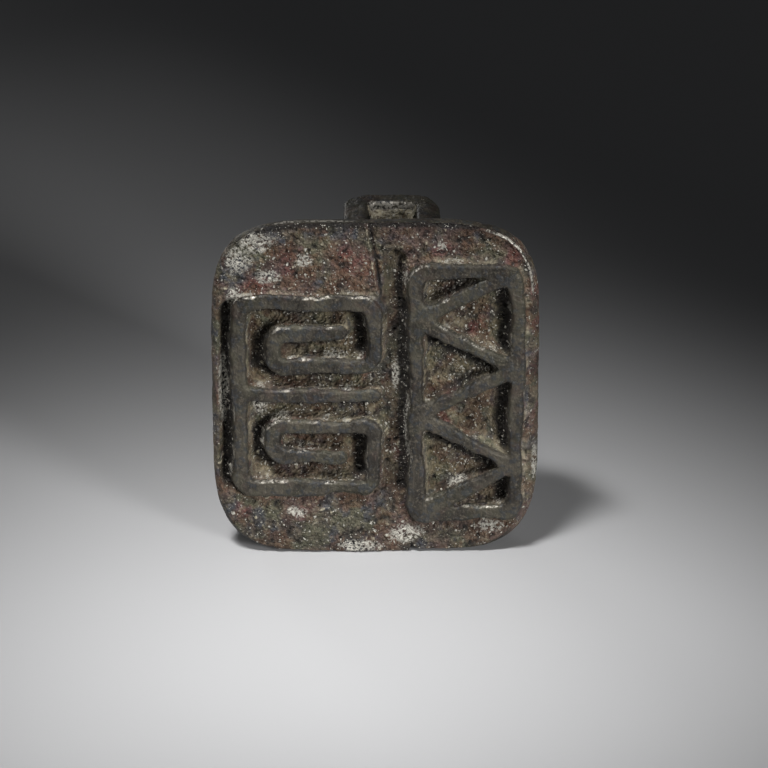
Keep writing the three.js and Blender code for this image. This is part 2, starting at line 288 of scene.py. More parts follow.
def groove_share(x, z):
    """1 in the deep ground, 0 on the bare margins."""
    left_ground = {
        "left": FRET_MM["left"] - SIDE_CHANNEL_MM, "right": BAND_MM["left"] + 1.0,
        "bottom": FRET_MM["bottom"] + 0.3, "top": FRET_MM["top"] - 0.3,
    }
    channel = dict(CHANNEL_MM, bottom=FRET_MM["top"] - 4)
    nearest = np.minimum.reduce([
        inside_panel(x, z, left_ground, 0, PANEL_CORNER_MM),
        inside_panel(x, z, BAND_MM, PANEL_MARGIN_MM, PANEL_CORNER_MM),
        inside_panel(x, z, channel, CHANNEL_MARGIN_MM, CHANNEL_CORNER_MM),
    ])
    return 1 - ramp(nearest, -0.55, 0.45)


# The crease in the upper margin: the ground is higher on its left. Places run from its top end down.
CREASE_MM = [(-0.8, 42.8), (-0.1, 38.6), (0.5, 34.6)]


def beyond_crease(x, z):
    """Distance to the right of the crease, in millimetres."""
    return x - np.interp(z, [p[1] for p in CREASE_MM[::-1]], [p[0] for p in CREASE_MM[::-1]])


# The strokes are shifted this far in x and z to find what lies on one side of them, in millimetres:
# earth with painted light on the side that looks up and to the right, painted shade on the side that looks
# down and to the left, and the edges that look up and to the left, rubbed bright with a painted highlight or
# carrying a white crust and a painted highlight
EARTH_AND_LIGHT_SHIFT_MM = (-0.42, -0.30)
PAINTED_SHADE_SHIFT_MM = (0.95, 0.50)
RUB_HIGHLIGHT_SHIFT_MM = (0.24, -0.34)


def stroke_distances(x, z, flat, stroke):
    """Distance outside the strokes, the same for earth with painted light and for painted shade, and 1 where
    a wall looks up and left.
    """
    paths = stroke_paths(stroke)
    swell = 0.30 * smooth_noise(flat, 4.5, 31) + 0.13 * smooth_noise(flat, 1.5, 32)
    swell = swell + 0.07 * smooth_noise(flat, 0.7, 33)
    half_width = stroke / 2 * (1.06 + swell)
    plain_reach, earth_and_light_reach, painted_shade_reach, rub_highlight_reach = (
        away_from_paths(x + shift_x, z + shift_z, paths) - half_width
        for shift_x, shift_z in ((0, 0), EARTH_AND_LIGHT_SHIFT_MM, PAINTED_SHADE_SHIFT_MM, RUB_HIGHLIGHT_SHIFT_MM)
    )
    nicks = 0.3 * pits(flat, 2.4, 0.55, 0.25, 121)
    off_stroke = plain_reach + nicks
    return off_stroke, earth_and_light_reach, painted_shade_reach, ramp(off_stroke - rub_highlight_reach, 0.0, 0.3)


def ground_floor(points, deep, from_edge, sizes, coarse, fine, grain):
    """Depth of the ground between the strokes, and how much crust its crease adds or takes."""
    past_crease = beyond_crease(points[:, 0], points[:, 2])
    high_up = ramp(points[:, 2], 33.5, 35.0)
    ridge = np.exp(-((past_crease + 0.26) / 0.20) ** 2) * high_up
    trench = np.exp(-((past_crease - 0.14) / 0.19) ** 2) * high_up
    margin = sizes.ground / MM * mixed(0.62, 1.15, ramp(past_crease, -0.05, 0.3))
    margin = margin * mixed(0.45, 1.0, ramp(points[:, 2], 0.0, 7.0))
    floor = mixed(margin - 0.30 * ridge + 0.60 * trench, sizes.groove / MM, deep)
    near_edge = (1 - ramp(from_edge, 0.0, 1.7)) * (1 - deep)
    floor = floor - 0.6 * near_edge * np.maximum(floor - sizes.rim_setback / MM, 0)
    floor = floor + mixed(0.15, 0.36, deep) * coarse + mixed(0.19, 0.11, deep) * fine
    floor = floor + mixed(0.08, 0.04, deep) * grain
    return floor, 0.35 * ridge - 0.9 * trench


def darkening_and_channel_shadow(points, x, z, coarse):
    """Darkening of the lower margin towards the bottom and of the right half's top, and painted shadow in the
    channel between the halves.
    """
    channel = dict(CHANNEL_MM, bottom=BAND_MM["bottom"] + 1.1)
    off_channel = inside_panel(x, z, channel, CHANNEL_MARGIN_MM, CHANNEL_CORNER_MM) + 0.2 * coarse
    return np.maximum.reduce([
        0.26 * (1 - ramp(points[:, 2] + 1.5 * coarse, 3.0, 9.0)),
        0.34 * (1 - ramp(off_channel, -0.5, 0.5)),
        0.14 * ramp(points[:, 2], 38.0, 41.0) * ramp(points[:, 0], -6.0, -1.0),
    ])


def face_relief(points, rho, radius, sizes):
    """Depth behind the stroke tops for points of the face, and masks for the finish.

    rho is 1 on the edge of the face, and radius is the distance from its middle to the edge that way.
    """
    flat = points * (1, 0, 1)
    x = points[:, 0] + 0.24 * smooth_noise(flat, 4.0, 11) + 0.04 * smooth_noise(flat, 1.1, 12)
    z = points[:, 2] + 0.24 * smooth_noise(flat, 4.0, 21) + 0.04 * smooth_noise(flat, 1.1, 22)
    coarse = layered_noise(flat, 2.4, 51)
    fine = layered_noise(flat, 0.75, 61)
    grain = smooth_noise(flat, 0.36, 71)
    deep = groove_share(x, z)
    from_edge = (1 - rho) * radius
    off_stroke, earth_and_light_reach, painted_shade_reach, looks_up_left = stroke_distances(x, z, flat, sizes.stroke / MM)

    floor, crease_crust = ground_floor(points, deep, from_edge, sizes, coarse, fine, grain)
    holes = np.maximum(pits(flat, 1.0, 0.22, 0.45, 81), 0.6 * deep * pits(flat, 2.6, 0.42, 0.4, 86))
    nodules = np.maximum(pits(flat, 1.2, 0.25, 0.55, 91), 0.8 * pits(flat, 0.65, 0.15, 0.4, 96))
    floor = floor + 0.42 * holes * mixed(0.5, 1, deep) - 0.28 * nodules
    # Earth banked against the walls that look up and right, coloured pale as painted light on that side
    earth_bank_and_light = 1 - ramp(earth_and_light_reach + 0.25 * coarse + 0.15 * fine, -0.45, 0.62)
    floor = floor - earth_bank_and_light * np.maximum(floor - 0.45, 0) * 0.62

    # The walls drop steeply from the dented tops and run out into round troughs
    dents = np.maximum(0.14 * pits(flat, 1.9, 0.17, 0.3, 111), 0.10 * pits(flat, 1.1, 0.16, 0.3, 116))
    top = 0.05 + 0.07 * smooth_noise(flat, 3.0, 101) + 0.02 * fine + dents
    top = top + 0.07 * ramp(off_stroke, -0.28, 0.0)
    reach = mixed(0.45, 0.95, deep)
    wall = 1 - (1 - np.clip((off_stroke + 0.10 * fine + 0.03) / reach, 0, 1)) ** 2.3
    depth = mixed(top, floor, wall)

    # The rim is left only round the upper right corner
    rim_width = sizes.rim_width / MM + 0.12 * coarse
    kept = ramp(points[:, 0], 11.0, 15.0) * ramp(points[:, 2], 32.0, 36.0)
    rim = (1 - ramp(from_edge, rim_width - 0.18, rim_width + 0.18)) * kept
    rim_depth = sizes.rim_setback / MM + 0.02 * fine + 0.06 * coarse
    depth = mixed(depth, np.minimum(depth, rim_depth), rim)
    depth = depth + 0.20 * (1 - ramp(from_edge, 0.0, 0.2)) ** 1.6

    # White crust and a painted highlight lie along the foot of the walls that look up and left
    lip_highlight = looks_up_left * ramp(off_stroke, 0.0, 0.2) * (1 - ramp(off_stroke, 0.35, 0.85))
    lip_highlight = lip_highlight * ramp(layered_noise(flat, 1.7, 151, 4), 0.0, 0.4)
    scattered = 0.26 * deep * ramp(layered_noise(flat, 3.2, 161, 4), 0.0, 0.4)

    metal_wall = 1 - ramp(off_stroke + 0.14 * fine, 0.0, 0.38)
    worn = metal_wall * (1 - 0.8 * earth_bank_and_light * wall) * (1 - 0.7 * lip_highlight)
    worn = np.maximum(worn, rim * ramp(0.95 - depth, 0, 0.3))

    # Grains are pale and pits are black, with more pits as painted shade beside the walls in the deep ground.
    # Painted shadow darkens the ground under the upper edge.
    shaded = (1 - ramp(off_stroke, 0.1, 0.9)) * (1 - ramp(earth_bank_and_light, 0.05, 0.5)) * deep
    rough = (0.5 * fine + 0.25 * grain) * mixed(1, 0.55, deep)
    crust = np.clip(0.42 - rough - 0.7 * holes - 0.35 * shaded, 0, 0.7) + 0.6 * nodules
    painted_shadow_under_top = (1 - ramp(from_edge + 0.12 * fine, 0.25, 0.75)) * ramp(points[:, 2], 40.0, 42.0) * (1 - kept)
    crust = crust * (1 - painted_shadow_under_top) + crease_crust
    # Painted shade: pit colour under the walls that look down and left, joined by the darkened margins and
    # the channel's painted shadow
    shade = (1 - ramp(painted_shade_reach + 0.30 * coarse + 0.15 * fine, 0.0, 1.15)) * (1 - 0.8 * earth_bank_and_light) * deep
    shade = np.maximum(shade, darkening_and_channel_shadow(points, x, z, coarse)) * wall

    # Painted highlight, with rubbed metal, on the edges that look up and left, where the light catches them
    rubbed_highlight = looks_up_left * (0.15 + 0.95 * ramp(layered_noise(flat, 2.8, 141, 4), 0.0, 0.30))
    rubbed_highlight = rubbed_highlight * (0.75 + 0.5 * fine) * ramp(off_stroke, -0.22, -0.06) * (1 - ramp(off_stroke, 0.0, 0.12))
    # The rim's edge round the upper right corner also carries the painted highlight
    rubbed_edge_highlight = np.maximum(rubbed_highlight, (1 - ramp(from_edge, 0.05, 0.36)) * ramp(kept, 0.3, 0.8))
    return depth, {
        "worn": worn, "deep": deep * wall, "earth_bank_and_light": earth_bank_and_light * wall * (1 - rim), "shade": shade, "crust": crust,
        "rubbed_edge_highlight": rubbed_edge_highlight, "bloom_and_glint": np.maximum(0.75 * lip_highlight, scattered),
    }


# The block

def fuller_corner(x, z, inset):
    """Moves the upper right corner of the face out by a share of its inset there."""
    return x + 0.6 * inset * ramp(x, 8.0, 18.0) * ramp(z, 29.0, 37.0)


def profile_stations(depth_mm):
    """Rings from the face's edge to the back: depth, insets left, right and on top, and the foot's lift."""
    inset_l, inset_r, inset_t = FACE_INSET_LEFT_MM, FACE_INSET_RIGHT_MM, FACE_INSET_TOP_MM
    stations = np.array([
        (0.79, inset_l, inset_r, inset_t, FACE_INSET_BOTTOM_MM),
        (1.05, inset_l * 0.55, inset_r * 0.62, 0.02, 0.12),
        (1.55, inset_l * 0.18, inset_r * 0.22, 0.0, 0.0),
        (2.2, 0.0, 0.0, 0.0, 0.0),
        (3.0, 0.2, 0.2, 0.34, 0.0),
        (4.2, 0.62, 0.62, 0.88, 0.0),
        (depth_mm - 1.2, 3.0, 3.0, 3.75, 0.0),
        (depth_mm - 0.4, 3.42, 3.42, 4.22, 0.12),
        (depth_mm - 0.08, 3.85, 3.85, 4.65, 0.5),
        (depth_mm, 4.6, 4.6, 5.4, 1.2),
    ])
    steps = np.linalg.norm(np.diff(stations[:, :4], axis=0), axis=1)
    run = np.concatenate([[0], np.cumsum(steps)])
    wanted = np.concatenate([np.linspace(0, 2.0, 9)[:-1], np.linspace(2.0, run[-1], 24)])
    rings = np.stack([np.interp(wanted, run, stations[:, i]) for i in range(5)], axis=1)
    for _ in range(2):
        rings[1:-1] = (rings[:-2] + 2 * rings[1:-1] + rings[2:]) / 4
    return rings


def foot_line(x, depth):
    """Height of the foot above the table: it stands on a lug at the front, with a notch at its right end."""
    lug = ramp(x, -5.6, -3.6) * (1 - ramp(x, 4.0, 4.3))
    notch = ramp(x, 4.1, 4.4) * (1 - ramp(x, 4.8, 5.4)) * (1 - ramp(depth, 1.5, 2.6))
    worn_left = 0.10 + 0.0042 * np.minimum(x + 3.6, 0) ** 2
    return (1 - lug) * np.where(x < 0, worn_left, 0.42) * (1 - ramp(depth, 5.0, 8.0)) + 0.35 * notch


def on_outline(s, t, low, high, insets):
    """Places of outline points, from their direction s, t on the unit square."""
    depth, inset_left, inset_right, inset_top, lift = insets
    left, right = low[0] + inset_left, high[0] - inset_right
    bottom, top = low[2] + lift - FOOT_CUT_MM, high[2] - inset_top
    stretch = (np.abs(s) ** CORNER_POWER + np.abs(t) ** CORNER_POWER) ** (-1 / CORNER_POWER)
    x = (left + right) / 2 + (right - left) / 2 * s * stretch
    z = (bottom + top) / 2 + (top - bottom) / 2 * t * stretch
    z = np.maximum(z, low[2] + foot_line(x, depth))
    x = fuller_corner(x, z, inset_right * (1 - ramp(depth, 2.0, 3.0)))
    # The upper wall falls away behind the face on the left half, where it is worn most
    z = z - WORN_TOP_MM * ramp(z, 36.0, 42.0) * (1 - ramp(x, -3.0, 6.0)) * ramp(depth, 0.85, 2.2)
    return np.stack([x, np.full(len(x), low[1] + depth), z], axis=1)


def selected_loop(mesh_data, layer_name):
    """The edit mesh, which keeps its vertices alive, the selected ones and their stored directions."""
    edit_mesh = bmesh.from_edit_mesh(mesh_data)
    layer = edit_mesh.verts.layers.float_vector[layer_name]
    chosen = [v for v in edit_mesh.verts if v.select]
    directions = np.array([v[layer][:2] for v in chosen])
    return edit_mesh, chosen, directions


def place_loop(mesh_data, chosen, places_mm):
    for vertex, place in zip(chosen, places_mm):
        vertex.co = Vector(place * MM)
    bmesh.update_edit_mesh(mesh_data, loop_triangles=False, destructive=False)


def clear_selection():
    if bpy.context.object and bpy.context.object.mode != "OBJECT":
        bpy.ops.object.mode_set(mode="OBJECT")
    bpy.ops.object.select_all(action="DESELECT")


def make_active(obj):
    clear_selection()
    obj.select_set(True)
    bpy.context.view_layer.objects.active = obj


def face_grid(name, low, high, spacing):
    """A grid plate over the face, with each point's direction on the unit square stored on it."""
    clear_selection()
    across = round((high[0] - low[0]) / spacing)
    upward = round((high[2] - low[2]) / spacing)
    bpy.ops.mesh.primitive_grid_add(x_subdivisions=across, y_subdivisions=upward, size=2)
    plate = bpy.context.object
    plate.name = plate.data.name = name
    data = plate.data
    square = np.empty(len(data.vertices) * 3)
    data.vertices.foreach_get("co", square)
    layer = data.attributes.new("direction", "FLOAT_VECTOR", "POINT")
    layer.data.foreach_set("vector", square)
    store(plate, "front", np.ones(len(data.vertices)))
    return plate, square.reshape(-1, 3)


# Rings that close the back, and how far each goes towards its middle
BACK_RINGS = 13
BACK_STEP = 0.074


def extrude_walls(plate, low, high, rings):
    """Extrudes the plate's edge loop ring by ring to the back, then inwards over the back."""
    make_active(plate)
    bpy.ops.object.mode_set(mode="EDIT")
    bpy.ops.mesh.select_mode(type="EDGE")
    bpy.ops.mesh.select_all(action="SELECT")
    bpy.ops.mesh.region_to_loop()
    data = plate.data
    for ring in rings[1:]:
        bpy.ops.mesh.extrude_region_move()
        _, chosen, direction = selected_loop(data, "direction")
        place_loop(data, chosen, on_outline(direction[:, 0], direction[:, 1], low, high, ring))
    middle = np.array([0.0, high[1], (low[2] + high[2]) / 2 - 0.5])
    for step in range(1, BACK_RINGS + 1):
        edge_share = max(1 - step * BACK_STEP, 0.01)
        bpy.ops.mesh.extrude_region_move()
        _, chosen, direction = selected_loop(data, "direction")
        edge = on_outline(direction[:, 0], direction[:, 1], low, high, rings[-1])
        place_loop(data, chosen, middle + (edge - middle) * edge_share)
    bpy.ops.mesh.merge(type="CENTER")
    bpy.ops.object.mode_set(mode="OBJECT")


def coordinates(obj):
    flat = np.empty(len(obj.data.vertices) * 3)
    obj.data.vertices.foreach_get("co", flat)
    return flat.reshape(-1, 3) / MM


def normals(obj):
    flat = np.empty(len(obj.data.vertices) * 3)
    obj.data.vertex_normals.foreach_get("vector", flat)
    return flat.reshape(-1, 3)


def move_to(obj, places_mm):
    obj.data.vertices.foreach_set("co", (places_mm * MM).ravel())
    obj.data.update()


def store(obj, name, values):
    layer = obj.data.attributes.get(name) or obj.data.attributes.new(name, "FLOAT", "POINT")
    layer.data.foreach_set("value", np.asarray(values, float))


def store_masks(obj, masks):
    """Stores all masks of the finish on the piece, kept within 0 and 1. One that isn't given is 0."""
    for name in MASKS:
        store(obj, name, np.clip(np.full(len(obj.data.vertices), masks.get(name, 0.0)), 0, 1))


def dress(piece, material):
    """Shades a finished piece smooth and gives it its material."""
    piece.data.polygons.foreach_set("use_smooth", np.ones(len(piece.data.polygons), bool))
    piece.data.materials.clear()
    piece.data.materials.append(material)


def read(obj, name):
    values = np.empty(len(obj.data.vertices))
    obj.data.attributes[name].data.foreach_get("value", values)
    return values


# Patches of the finish on the block: middle x and z, half width and half height, all in millimetres
WHITE_PATCHES_MM = [
    (-16.6, 38.7, 2.2, 2.1), (-14.4, 41.0, 2.6, 1.8), (-13.0, 36.6, 2.2, 1.3), (-8.6, 38.8, 1.2, 1.0),
    (-1.5, 0.9, 3.4, 1.0), (3.4, 2.4, 2.8, 1.8), (-9.5, 5.4, 1.4, 1.0), (14.2, 3.5, 2.2, 1.0),
    (-17.3, 33.6, 1.0, 2.2), (8.0, 40.5, 0.9, 0.9), (19.4, 12.0, 0.5, 3.5), (-18.6, 22.0, 0.6, 6.0),
    (2.4, 23.0, 0.6, 2.6), (11.0, 37.6, 0.9, 0.5), (-14.0, 20.0, 1.0, 3.0), (10.5, 9.0, 2.0, 1.0),
]
RED_PATCHES_MM = [
    (16.4, 39.0, 1.8, 2.2), (-1.7, 26.5, 1.1, 6.0), (-16.2, 6.0, 1.1, 1.7), (-3.0, 38.4, 2.6, 2.2),
    (-14.5, 35.6, 2.0, 1.4), (7.8, 20.0, 2.0, 5.0), (-12.0, 16.0, 1.6, 4.0), (19.8, 32.5, 1.6, 5.5),
    (-9.0, 38.6, 2.6, 2.4), (-9.5, 5.2, 2.6, 1.2), (12.0, 30.0, 1.8, 3.0), (-7.0, 28.0, 1.6, 2.0),
    (3.0, 14.0, 1.4, 4.0), (8.0, 38.8, 1.6, 2.6), (-5.0, 12.0, 2.0, 1.6), (19.6, 22.0, 1.0, 4.0),
]


def patch_share(points, patches, seed):
    """1 in the middle of each ragged patch of the front and the edge of the block, 0 outside them."""
    total = np.zeros(len(points))
    ragged = 0.55 * layered_noise(points, 1.8, seed, 4)
    for mid_x, mid_z, half_x, half_z in patches:
        away = np.hypot((points[:, 0] - mid_x) / half_x, (points[:, 2] - mid_z) / half_z)
        total = np.maximum(total, 1 - ramp(away + ragged, 0.35, 1.15))
    return total


def casting_skin(points, seed):
    """Bumps of a worn and corroded casting in millimetres, and its crust: low in pits, high on grains."""
    lumps = layered_noise(points, 4.0, seed)
    grains = layered_noise(points, 1.1, seed + 10)
    fine = smooth_noise(points, 0.45, seed + 20)
    holes = pits(points, 2.1, 0.32, 0.4, seed + 30)
    height = 0.11 * lumps + 0.07 * grains + 0.025 * fine - 0.17 * holes
    return height, 0.5 + 0.6 * grains + 0.2 * fine - 0.8 * holes


def shape_block(block, low, high, sizes):
    """Presses the relief into the face and roughens the walls and the back."""
    places = coordinates(block)
    square = np.empty(len(block.data.vertices) * 3)
    block.data.attributes["direction"].data.foreach_get("vector", square)
    square = square.reshape(-1, 3)
    front = read(block, "front") > 0.5
    face = front & (places[:, 1] <= low[1] + 0.8)

    outward = normals(block)
    height, crust = casting_skin(places, 201)
    fade = ramp(places[:, 1] - low[1], 0.9, 1.6)
    moved = places + outward * (height * fade * ~face)[:, None]

    inner = square[:, :2].copy()
    reach = np.maximum(np.max(np.abs(inner), axis=1), 1e-6)
    unit = inner / reach[:, None]
    stretch = (np.abs(unit[:, 0]) ** CORNER_POWER + np.abs(unit[:, 1]) ** CORNER_POWER) ** (-1 / CORNER_POWER)
    eased = 1 + (stretch - 1) * reach ** 3
    left, right = low[0] + FACE_INSET_LEFT_MM, high[0] - FACE_INSET_RIGHT_MM
    bottom = low[2] + FACE_INSET_BOTTOM_MM - FOOT_CUT_MM
    top = high[2] - FACE_INSET_TOP_MM
    half_x, half_z = (right - left) / 2, (top - bottom) / 2
    x = (left + right) / 2 + half_x * inner[:, 0] * eased
    z = (bottom + top) / 2 + half_z * inner[:, 1] * eased
    z = np.maximum(z, low[2] + foot_line(x, np.zeros(len(x))))
    x = fuller_corner(x, z, FACE_INSET_RIGHT_MM)
    rho = reach * eased / np.maximum(stretch, 1e-6)
    radius = np.hypot(half_x * unit[:, 0], half_z * unit[:, 1]) * stretch
    face_points = np.stack([x, np.zeros(len(x)), z], axis=1)
    depth, face_masks = face_relief(face_points[face], rho[face], radius[face], sizes)
    moved[face] = np.stack([x[face], low[1] + np.maximum(depth, 0.0), z[face]], axis=1)
    moved = np.clip(moved, low, high)
    move_to(block, moved)

    depth_back = moved[:, 1] - low[1]
    side = 1 - ramp(depth_back, 4.0, 9.0)
    upper = ramp(moved[:, 2], 41.0, 42.5)
    # Handling has rubbed the crest of the upper wall left of the middle, and a painted highlight lies along
    # it
    along = ramp(moved[:, 0], -14.5, -10.5) * (1 - ramp(moved[:, 0], -8.0, 2.0))
    along = along - 1.0 * ramp(depth_back, 1.3, 2.6) + 0.45 * layered_noise(moved, 2.4, 271, 4)
    crest_highlight = 0.7 * ramp(depth_back, 0.95, 1.2) * upper * ramp(along, 0.20, 0.85)
    # Painted shadow darkens the band under the crest; corrosion is left at the left and right sides and in
    # patches behind
    shadow_under_crest = upper * (1 - ramp(depth_back, 0.85, 1.1))
    worn = 0.86 - 0.52 * side * ramp(np.abs(places[:, 0]), 15.0, 18.0) + 0.25 * smooth_noise(places, 3.0, 241)
    behind = ramp(depth_back, 3.5, 6.0) * ramp(layered_noise(places, 8.0, 281, 4), 0.0, 0.3)
    ahead = 1 - ramp(depth_back, 2.5, 6.0)
    masks = {
        "worn": worn - 0.6 * shadow_under_crest - 0.5 * behind,
        "deep": 0.15 * side,
        "crust": np.clip(crust, 0, 0.7) * (1 - shadow_under_crest),
        "rubbed_edge_highlight": crest_highlight,
        "bloom_and_glint": patch_share(moved, WHITE_PATCHES_MM, 251) * ahead,
        "cuprite": patch_share(moved, RED_PATCHES_MM, 261) * ahead,
    }
    face_masks["bloom_and_glint"] = np.maximum(face_masks["bloom_and_glint"], masks["bloom_and_glint"][face])
    for name, values in face_masks.items():
        whole = np.full(len(places), masks.get(name, 0.0))
        whole[face] = values
        masks[name] = whole
    store_masks(block, masks)
    block.data.attributes.remove(block.data.attributes["direction"])
    block.data.attributes.remove(block.data.attributes["front"])


def make_block():
    sizes = bpy.context.scene.seal_sizes
    low, high = box_mm("seal_block")
    plate, square = face_grid("block_casting", low, high, sizes.grid / MM)
    rings = profile_stations(high[1] - low[1])
    edge = np.max(np.abs(square[:, :2]), axis=1) > 0.9999
    start = np.stack([square[:, 0] * 15, np.full(len(square), low[1]), 20 + square[:, 1] * 15], axis=1)
    start[edge] = on_outline(square[edge, 0], square[edge, 1], low, high, rings[0])
    move_to(plate, start)
    extrude_walls(plate, low, high, rings)
    shape_block(plate, low, high, sizes)
    dress(plate, patina("worn cast bronze, burial patina", earth_level=0.5))
    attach(plate, "root")
    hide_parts("seal_block")
    return plate


# The loop

def add_box(low, high, name):
    clear_selection()
    middle = (np.array(low) + np.array(high)) / 2 * MM
    bpy.ops.mesh.primitive_cube_add(size=1, location=middle)
    box = bpy.context.object
    box.name = box.data.name = name
    box.scale = (np.array(high) - np.array(low)) * MM
    bpy.ops.object.transform_apply(location=True, rotation=True, scale=True)
    return box


def edit(obj):
    make_active(obj)
    bpy.ops.object.mode_set(mode="EDIT")
    bpy.ops.mesh.select_mode(type="FACE")
    bpy.ops.mesh.select_all(action="DESELECT")
    return bmesh.from_edit_mesh(obj.data)


def pick_faces(obj, edit_mesh, wanted):
    """Selects the faces whose middle and normal pass the test."""
    for face in edit_mesh.faces:
        face.select = bool(wanted(face.calc_center_median() / MM, face.normal))
    edit_mesh.select_flush_mode()
    bmesh.update_edit_mesh(obj.data)


def apply_modifier(obj, kind, **values):
    modifier = obj.modifiers.new(kind.lower(), kind)
    for key, value in values.items():
        setattr(modifier, key, value)
    make_active(obj)
    bpy.ops.object.modifier_apply(modifier=modifier.name)


def turn_corner(obj, middle, angle):
    """Spins the selected end face round an upright axis through the middle."""
    bpy.ops.mesh.spin(
        steps=8, angle=angle, center=Vector(middle) * MM, axis=(0, 0, 1), use_auto_merge=False,
    )


def square_up(strap, low, high, turn_y, corner):
    """Draws the two far outer corners of the strap out to their tighter real radius."""
    leg, power = LEG_THICKNESS_MM, 3.4
    places = coordinates(strap)
    for side in (-1, 1):
        centre_x = low[0] + leg + corner if side < 0 else high[0] - leg - corner
        out_x, out_y = (places[:, 0] - centre_x) * side, places[:, 1] - turn_y
        outer = (np.hypot(out_x, out_y) > corner + leg / 2) & (out_x > -0.01) & (out_y > -0.01)
        angle = np.arctan2(out_y, out_x)
        stretch = (np.abs(np.cos(angle)) ** power + np.abs(np.sin(angle)) ** power) ** (-1 / power)
        thinner = (corner + END_THICKNESS_MM) / (corner + leg)
        places[:, 0] = np.where(outer, centre_x + side * out_x * stretch, places[:, 0])
        places[:, 1] = np.where(outer, turn_y + out_y * stretch * thinner, places[:, 1])
    move_to(strap, places)


def bent_strap(low, high, root_y):
    """The strap as one bar: up the left leg, round the far end and back down the right leg."""
    corner = 0.9
    leg = LEG_THICKNESS_MM
    end = END_THICKNESS_MM
    turn_y = high[1] - end - corner
    strap = add_box((low[0], root_y, low[2]), (low[0] + leg, turn_y, high[2]), "strap_loop")
    edit_mesh = edit(strap)
    pick_faces(strap, edit_mesh, lambda place, normal: normal.y > 0.9)
    turn_corner(strap, (low[0] + leg + corner, turn_y, 0), math.pi / 2)
    bpy.ops.mesh.extrude_region_move(
        TRANSFORM_OT_translate={"value": ((high[0] - low[0] - 2 * leg - 2 * corner) * MM, 0, 0)},
    )
    turn_corner(strap, (high[0] - leg - corner, turn_y, 0), math.pi / 2)
    bpy.ops.mesh.extrude_region_move(TRANSFORM_OT_translate={"value": (0, -(turn_y - root_y) * MM, 0)})
    bpy.ops.mesh.select_all(action="SELECT")
    bpy.ops.mesh.normals_make_consistent(inside=False)
    bpy.ops.object.mode_set(mode="OBJECT")
    square_up(strap, low, high, turn_y, corner)
    return strap


def earth_wedge(low, high, side):
    """Hardened earth in a far corner of the hole, wider towards the bottom. side is -1 or 1."""
    middle_x = (low[0] + high[0]) / 2
    inner_half = (high[0] - low[0]) / 2 - LEG_THICKNESS_MM
    wall_y = high[1] - END_THICKNESS_MM
    corner_x = middle_x + side * (inner_half + 0.4)
    mouth_x, deep_x = middle_x + side * (inner_half - 0.2), middle_x + side * (inner_half - 1.7)
    top, bottom = high[2] - 0.6, high[2] - 4.6
    low_x, high_x = sorted((corner_x, mouth_x))
    wedge = add_box((low_x, wall_y - 1.6, bottom), (high_x, wall_y + 0.4, top), "hole_earth")
    edit_mesh = edit(wedge)
    for vertex in edit_mesh.verts:
        if abs(vertex.co.x / MM - mouth_x) < 0.01 and vertex.co.z / MM < bottom + 0.01:
            vertex.co.x = deep_x * MM
    bmesh.update_edit_mesh(wedge.data)
    bpy.ops.object.mode_set(mode="OBJECT")
    return wedge


def shape_loop(loop, low, high):
    """Roughens the strap, bows its top and finds the inside of its hole for the finish."""
    places = coordinates(loop)
    outward = normals(loop)
    from_middle = np.abs(places[:, 0] - (low[0] + high[0]) / 2)
    inner_half = (high[0] - low[0]) / 2 - LEG_THICKNESS_MM
    below_top = high[2] - places[:, 2]
    far_wall = high[1] - END_THICKNESS_MM + 0.35
    inside = (from_middle < inner_half + 0.1 - 0.26 * np.clip(below_top, 0, 5)) & (places[:, 1] < far_wall)
    inside = inside & (np.abs(outward[:, 2]) < 0.8)
    # Painted highlight with rubbed metal along the top edge of the hole's far wall
    lip_highlight = inside * (1 - ramp(below_top, 0.9, 1.5)) * (places[:, 1] > far_wall - 0.8)
    # Thin lines run across the strap on its top and bottom edges, as hammering left them
    lines = 0.05 * smooth_noise(places * (0.12, 1, 1), 0.55, 311) * ramp(np.abs(outward[:, 2]), 0.3, 0.8)
    height, crust = casting_skin(places, 301)
    height = height + lines + inside * 0.16 * layered_noise(places, 1.3, 331) - 0.05
    places = places + outward * height[:, None]
    across = places[:, 0] - (low[0] + high[0]) / 2
    dome = 0.30 * ramp(np.abs(across), 2.5, 6.1) + 0.55 * ramp(across, 4.2, 6.1)
    dome = dome * ramp(places[:, 1], low[1] + 3.0, low[1] + 8.0)
    places[:, 2] -= dome * ramp(places[:, 2], high[2] - 6, high[2])
    places = np.clip(places, low, high)
    move_to(loop, places)
    store_masks(loop, {
        "worn": np.where(inside, 0.1 + 0.9 * lip_highlight, 0.78 + 0.25 * smooth_noise(places, 3.0, 361)),
        "deep": np.where(inside, 1.0, 0.1),
        "earth_bank_and_light": np.where(inside, 1.0, 0.0),
        "crust": crust + 0.15 * inside,
        "rubbed_edge_highlight": 0.8 * lip_highlight,
        "bloom_and_glint": 0.35 * inside,
        "cuprite": 0.3 * ramp(smooth_noise(places, 5.0, 351), 0.2, 0.8),
    })


def make_loop():
    sizes = bpy.context.scene.seal_sizes
    low, high = box_mm("loop_knob")
    block_back = box_mm("seal_block")[1][1]
    low = np.array([low[0], block_back - 0.4, low[2]])
    strap = bent_strap(low, high, block_back - 0.4)
    apply_modifier(strap, "BEVEL", width=0.45 * MM, segments=2, limit_method="ANGLE", angle_limit=0.6)
    wedges = [earth_wedge(low, high, side) for side in (-1, 1)]
    make_active(strap)
    for wedge in wedges:
        wedge.select_set(True)
    bpy.ops.object.join()
    apply_modifier(strap, "REMESH", mode="VOXEL", voxel_size=sizes.loop_voxel, adaptivity=0)
    apply_modifier(strap, "SMOOTH", factor=0.5, iterations=4)
    shape_loop(strap, low, high)
    dress(strap, patina("handled strap bronze, earth in the hole", earth_level=0.85, darker=0.78))
    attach(strap, "root")
    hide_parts("loop_knob")
    return strap


# The solder seams

